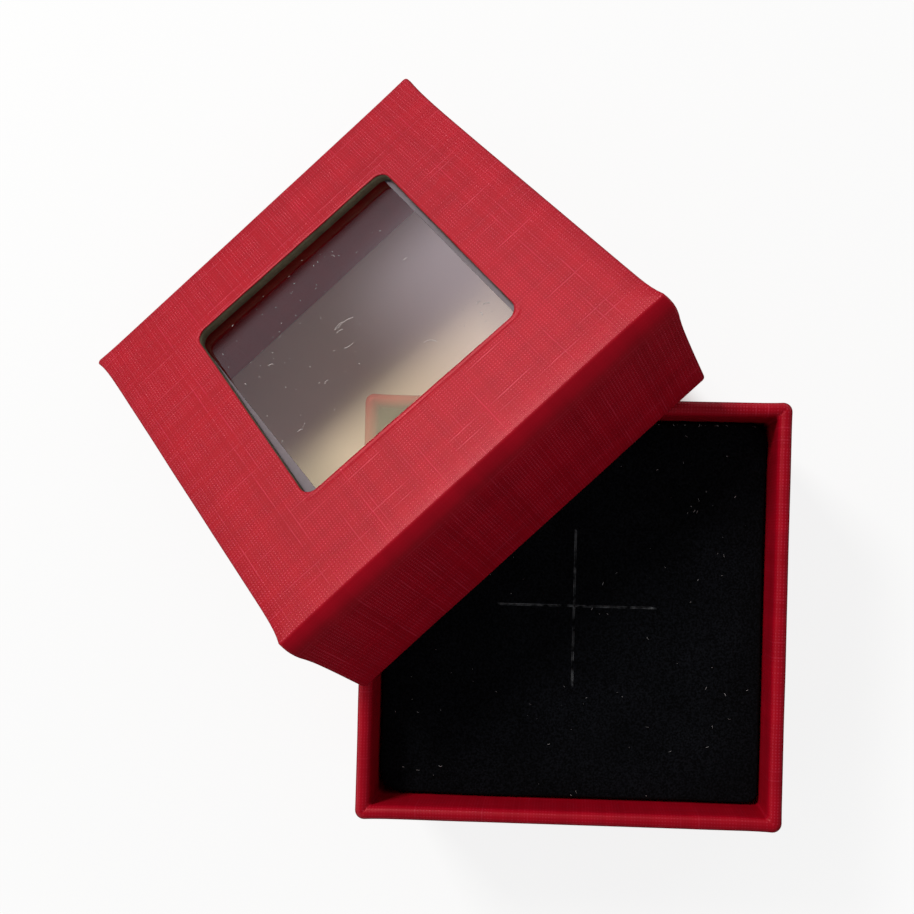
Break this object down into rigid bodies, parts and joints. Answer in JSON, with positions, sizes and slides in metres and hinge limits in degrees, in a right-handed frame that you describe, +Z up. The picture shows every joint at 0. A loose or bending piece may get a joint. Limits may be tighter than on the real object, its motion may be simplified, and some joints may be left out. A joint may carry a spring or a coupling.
{
  "type": "ring display box",
  "caption": "Small square red paper-covered jewellery box, open, with a black flocked foam ring pad and a window lid leaning on its rim.",
  "frame": {"origin": "centre of the base's underside, on the table", "axes": "+Z up, +X to the base's right side and +Y to its back side; the lid leans on the back left"},
  "size_m": [0.0864, 0.0917, 0.0398],
  "materials": {
    "red_linen_paper": "linen-embossed, satin",
    "greyboard": "matte",
    "stay_paper": "matte",
    "foam": "matte closed-cell foam",
    "flock": "flocked",
    "clear_film": "clear, glossy",
    "film_tape": "satin"
  },
  "bodies": {
    "base": {"base_board": "greyboard", "base_corner_stay_back_left": "stay_paper", "base_corner_stay_back_right": "stay_paper", "base_corner_stay_front_right": "stay_paper", "base_corner_stay_front_left": "stay_paper", "base_wrap": "red_linen_paper"},
    "foam_insert": {"foam_pad": "foam", "flocked_face": "flock"},
    "lid": {"lid_board": "greyboard", "lid_corner_stay_floor_right": "stay_paper", "lid_corner_stay_raised_right": "stay_paper", "lid_corner_stay_raised_left": "stay_paper", "lid_corner_stay_floor_left": "stay_paper", "lid_wrap": "red_linen_paper", "window_film": "clear_film", "film_tape_left": "film_tape", "film_tape_right": "film_tape"}
  },
  "joints": [
    {"name": "lid_lift", "type": "slide", "parent": "base", "child": "lid", "axis": [0, 0, 1], "range_m": [0, 0.06]},
    {"name": "pad_lift", "type": "slide", "parent": "base", "child": "foam_insert", "axis": [0, 0, 1], "range_m": [0, 0.005]}
  ]
}
